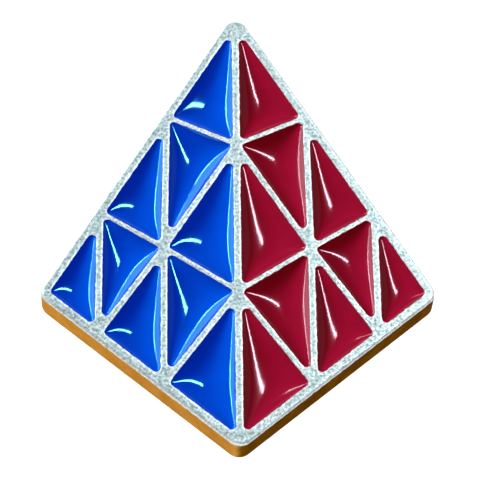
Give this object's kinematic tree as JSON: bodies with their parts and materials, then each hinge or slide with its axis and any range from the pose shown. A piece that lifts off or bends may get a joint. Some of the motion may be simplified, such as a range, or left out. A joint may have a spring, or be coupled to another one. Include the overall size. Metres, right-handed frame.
{
  "type": "enamel lapel pin",
  "caption": "Kite-shaped soft-enamel lapel pin with a raised-line triangular-cell design of a pyramid puzzle, and posts with butterfly clutches behind.",
  "frame": {"origin": "on the surface that the clutch wings rest on, under the middle of the plate's outline", "axes": "+Z out of the enamelled face, +Y up the artwork towards the pyramid's apex, +X to the viewer's right"},
  "size_m": [0.0244, 0.03, 0.0106],
  "materials": {
    "plated_plate": "silver plating over struck metal, sandy grain on the raised lines, warm cast on the side wall",
    "blue_enamel": "glossy soft enamel, deep ultramarine blue",
    "red_enamel": "glossy soft enamel, dark crimson",
    "post_steel": "nickel-plated, turned",
    "clutch_brass": "stamped, bright",
    "spring_brass": "spring-hard strip, satin"
  },
  "bodies": {
    "root": {"base_plate": "plated_plate", "enamel_blue_tip_top": "blue_enamel", "enamel_blue_tip_side": "blue_enamel", "enamel_blue_tip_foot": "blue_enamel", "enamel_blue_centre_top": "blue_enamel", "enamel_blue_centre_side": "blue_enamel", "enamel_blue_centre_foot": "blue_enamel", "enamel_blue_edge_outer": "blue_enamel", "enamel_blue_edge_inner": "blue_enamel", "enamel_blue_edge_lower": "blue_enamel", "enamel_red_tip_top": "red_enamel", "enamel_red_tip_side": "red_enamel", "enamel_red_tip_foot": "red_enamel", "enamel_red_centre_top": "red_enamel", "enamel_red_centre_side": "red_enamel", "enamel_red_centre_foot": "red_enamel", "enamel_red_edge_outer": "red_enamel", "enamel_red_edge_inner": "red_enamel", "enamel_red_edge_lower": "red_enamel", "post_lower": "post_steel", "post_upper": "post_steel"},
    "clutch_lower": {"clutch_lower_base_disc": "clutch_brass"},
    "clutch_lower_cap": {"clutch_lower_cap": "clutch_brass", "clutch_lower_spring_plate": "spring_brass"},
    "clutch_lower_wing_left": {"clutch_lower_wing_left": "spring_brass"},
    "clutch_lower_wing_right": {"clutch_lower_wing_right": "spring_brass"},
    "clutch_upper": {"clutch_upper_base_disc": "clutch_brass"},
    "clutch_upper_cap": {"clutch_upper_cap": "clutch_brass", "clutch_upper_spring_plate": "spring_brass"},
    "clutch_upper_wing_left": {"clutch_upper_wing_left": "spring_brass"},
    "clutch_upper_wing_right": {"clutch_upper_wing_right": "spring_brass"}
  },
  "joints": [
    {"name": "clutch_lower_slide", "type": "slide", "parent": "root", "child": "clutch_lower", "axis": [0, 0, -1], "range_m": [-0.0024, 0.007]},
    {"name": "clutch_lower_turn", "type": "hinge", "parent": "clutch_lower", "child": "clutch_lower_cap", "pos_m": [0, -0.00501, 0.005], "axis": [0, 0, 1], "continuous": true},
    {"name": "clutch_lower_squeeze", "type": "hinge", "parent": "clutch_lower_cap", "child": "clutch_lower_wing_left", "pos_m": [0.00145, -0.00501, 0.00498], "axis": [0, -1, 0], "range_deg": [0, 12], "stiffness_Nm_per_rad": 0.02, "springref_deg": -11.46},
    {"name": "clutch_lower_squeeze_right", "type": "hinge", "parent": "clutch_lower_cap", "child": "clutch_lower_wing_right", "pos_m": [-0.00145, -0.00501, 0.00498], "axis": [0, 1, 0], "range_deg": [0, 12], "stiffness_Nm_per_rad": 0.02, "springref_deg": -11.46},
    {"name": "clutch_upper_slide", "type": "slide", "parent": "root", "child": "clutch_upper", "axis": [0, 0, -1], "range_m": [-0.0024, 0.007]},
    {"name": "clutch_upper_turn", "type": "hinge", "parent": "clutch_upper", "child": "clutch_upper_cap", "pos_m": [0, 0.00559, 0.005], "axis": [0, 0, 1], "continuous": true},
    {"name": "clutch_upper_squeeze", "type": "hinge", "parent": "clutch_upper_cap", "child": "clutch_upper_wing_left", "pos_m": [0.00145, 0.00559, 0.00498], "axis": [0, -1, 0], "range_deg": [0, 12], "stiffness_Nm_per_rad": 0.02, "springref_deg": -11.46},
    {"name": "clutch_upper_squeeze_right", "type": "hinge", "parent": "clutch_upper_cap", "child": "clutch_upper_wing_right", "pos_m": [-0.00145, 0.00559, 0.00498], "axis": [0, 1, 0], "range_deg": [0, 12], "stiffness_Nm_per_rad": 0.02, "springref_deg": -11.46}
  ],
  "couplings": [
    {"joint": "clutch_lower_squeeze_right", "follows": "clutch_lower_squeeze", "ratio": 1},
    {"joint": "clutch_upper_squeeze_right", "follows": "clutch_upper_squeeze", "ratio": 1}
  ]
}
